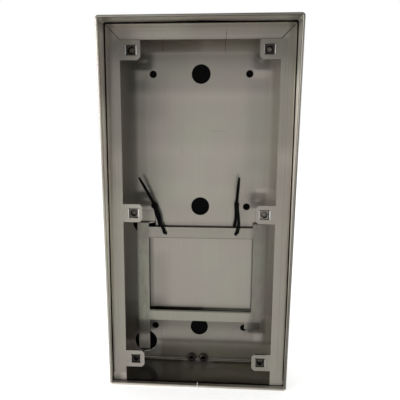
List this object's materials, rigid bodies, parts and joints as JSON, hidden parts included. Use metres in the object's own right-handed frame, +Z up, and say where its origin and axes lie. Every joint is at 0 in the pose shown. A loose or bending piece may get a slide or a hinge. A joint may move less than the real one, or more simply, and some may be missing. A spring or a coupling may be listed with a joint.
{
  "type": "intercom surface mount box",
  "caption": "Open stainless back box with a slanted rain hood, cage nuts on flange tabs and an inner module bracket, for mounting an intercom station on a wall.",
  "frame": {"origin": "on the wall plane, at the centre of the wall fixing holes", "axes": "+Z up, -Y out of the open front, +X to the right of someone facing the box"},
  "size_m": [0.2072, 0.0854, 0.4132],
  "materials": {
    "box_sheet": "brushed stainless sheet",
    "hood_sheet": "brushed stainless sheet",
    "bracket_sheet": "satin stainless sheet",
    "spring_steel": "bright spring steel",
    "zinc_nut": "zinc plated",
    "insert_steel": "dull zinc plated",
    "black_nylon": "black nylon"
  },
  "bodies": {
    "root": {"back_box": "box_sheet", "hood_sleeve": "hood_sheet", "module_bracket": "bracket_sheet", "cable_tie_left": "black_nylon", "cable_tie_right": "black_nylon", "rivet_nut_left": "insert_steel", "rivet_nut_right": "insert_steel", "nut_cage_top_left": "spring_steel", "square_nut_top_left": "zinc_nut", "nut_cage_top_right": "spring_steel", "square_nut_top_right": "zinc_nut", "nut_cage_middle_left": "spring_steel", "square_nut_middle_left": "zinc_nut", "nut_cage_middle_right": "spring_steel", "square_nut_middle_right": "zinc_nut", "nut_cage_bottom_left": "spring_steel", "square_nut_bottom_left": "zinc_nut", "nut_cage_bottom_right": "spring_steel", "square_nut_bottom_right": "zinc_nut"}
  },
  "joints": []
}
